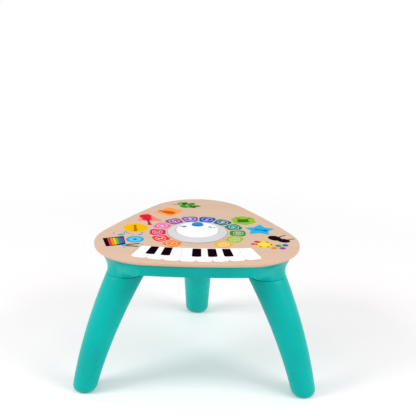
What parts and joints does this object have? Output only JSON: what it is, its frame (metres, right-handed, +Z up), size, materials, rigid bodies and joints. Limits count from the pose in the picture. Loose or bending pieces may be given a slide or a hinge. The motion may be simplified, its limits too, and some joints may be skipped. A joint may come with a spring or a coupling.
{
  "type": "musical activity table",
  "caption": "Low play table with a touch-sensitive wooden top, a central drum with a button, a moulded housing and three plug-in curved legs.",
  "frame": {"origin": "on the floor under the middle of the whole table's outline", "axes": "+Z up; +X to the player's right as the player stands at the keyboard, along the table's longest side; +Y away from the player, towards the single back leg"},
  "size_m": [0.5312, 0.4855, 0.332],
  "materials": {
    "top_wood": "pale wood with a clear satin lacquer and printed keys, pads and shapes",
    "housing_plastic": "satin moulded plastic",
    "leg_plastic": "satin moulded plastic",
    "door_plastic": "satin moulded plastic, fine texture",
    "drum_ring_plastic": "satin moulded plastic",
    "drum_cap_plastic": "glossy moulded plastic",
    "button_plastic": "glossy moulded plastic",
    "dome_rubber": "soft silicone",
    "pad_rubber": "matt non-slip rubber",
    "circuit_board": "solder mask",
    "lamp_lens": "clear lens over a yellow phosphor",
    "plated_steel": "zinc or nickel plated",
    "speaker_paper": "coated paper",
    "magnet_ferrite": "bare ferrite",
    "chip_black": "epoxy",
    "switch_plastic": "satin moulded plastic",
    "cell_shell": "plain coloured sleeve, no print",
    "lead_red": "soft insulation",
    "lead_black": "soft insulation",
    "cable_white": "soft insulation",
    "sensor_film": "thin polyester film"
  },
  "bodies": {
    "table": {"wooden_top": "top_wood", "touch_sensor_sheet": "sensor_film", "housing": "housing_plastic", "drum_ring": "drum_ring_plastic", "drum_cap": "drum_cap_plastic", "button_dome": "dome_rubber", "drum_board": "circuit_board", "drum_lamp_1": "lamp_lens", "drum_lamp_2": "lamp_lens", "drum_lamp_3": "lamp_lens", "drum_lamp_4": "lamp_lens", "drum_lamp_5": "lamp_lens", "drum_lamp_6": "lamp_lens", "speaker_frame": "plated_steel", "speaker_cone": "speaker_paper", "speaker_magnet": "magnet_ferrite", "main_board": "circuit_board", "main_chip": "chip_black", "power_switch_body": "plated_steel", "battery_cell_1": "cell_shell", "battery_cell_2": "cell_shell", "battery_cell_3": "cell_shell", "contact_minus": "plated_steel", "contact_bridge_left": "plated_steel", "contact_bridge_right": "plated_steel", "contact_plus": "plated_steel", "top_screw_1": "plated_steel", "top_screw_2": "plated_steel", "top_screw_3": "plated_steel", "top_screw_4": "plated_steel", "top_screw_5": "plated_steel", "top_screw_6": "plated_steel", "ring_screw_1": "plated_steel", "ring_screw_2": "plated_steel", "ring_screw_3": "plated_steel", "board_screw_1": "plated_steel", "board_screw_2": "plated_steel", "speaker_screw_1": "plated_steel", "speaker_screw_2": "plated_steel", "battery_lead_red": "lead_red", "battery_lead_black": "lead_black", "speaker_lead_red": "lead_red", "speaker_lead_black": "lead_black", "drum_cable": "cable_white", "sensor_cable": "cable_white"},
    "back_leg": {"leg_back": "leg_plastic", "foot_pad_back": "pad_rubber"},
    "front_left_leg": {"leg_front_left": "leg_plastic", "foot_pad_front_left": "pad_rubber"},
    "front_right_leg": {"leg_front_right": "leg_plastic", "foot_pad_front_right": "pad_rubber"},
    "button": {"mode_button": "button_plastic"},
    "switch_knob": {"power_switch_knob": "switch_plastic"},
    "door": {"battery_door": "door_plastic"},
    "captive_screw": {"door_screw": "plated_steel"}
  },
  "joints": [
    {"name": "back_leg_pull", "type": "slide", "parent": "table", "child": "back_leg", "axis": [0, 0.4935, -0.8697], "range_m": [0, 0.055]},
    {"name": "front_left_leg_pull", "type": "slide", "parent": "table", "child": "front_left_leg", "axis": [-0.4274, -0.2468, -0.8697], "range_m": [0, 0.055]},
    {"name": "front_right_leg_pull", "type": "slide", "parent": "table", "child": "front_right_leg", "axis": [0.4274, -0.2468, -0.8697], "range_m": [0, 0.055]},
    {"name": "button_press", "type": "slide", "parent": "table", "child": "button", "axis": [0, 0, -1], "range_m": [0, 0.0015], "stiffness_N_per_m": 600, "springref_m": -0.001, "deforming": ["button_dome"]},
    {"name": "switch_slide", "type": "slide", "parent": "table", "child": "switch_knob", "axis": [1, 0, 0], "range_m": [0, 0.008]},
    {"name": "door_swing", "type": "hinge", "parent": "table", "child": "door", "pos_m": [0, -0.2149, 0.2886], "axis": [-1, 0, 0], "range_deg": [0, 60]},
    {"name": "door_screw_turn", "type": "hinge", "parent": "door", "child": "captive_screw", "pos_m": [0, -0.15518, 0.29], "axis": [0, 0, 1], "continuous": true}
  ]
}
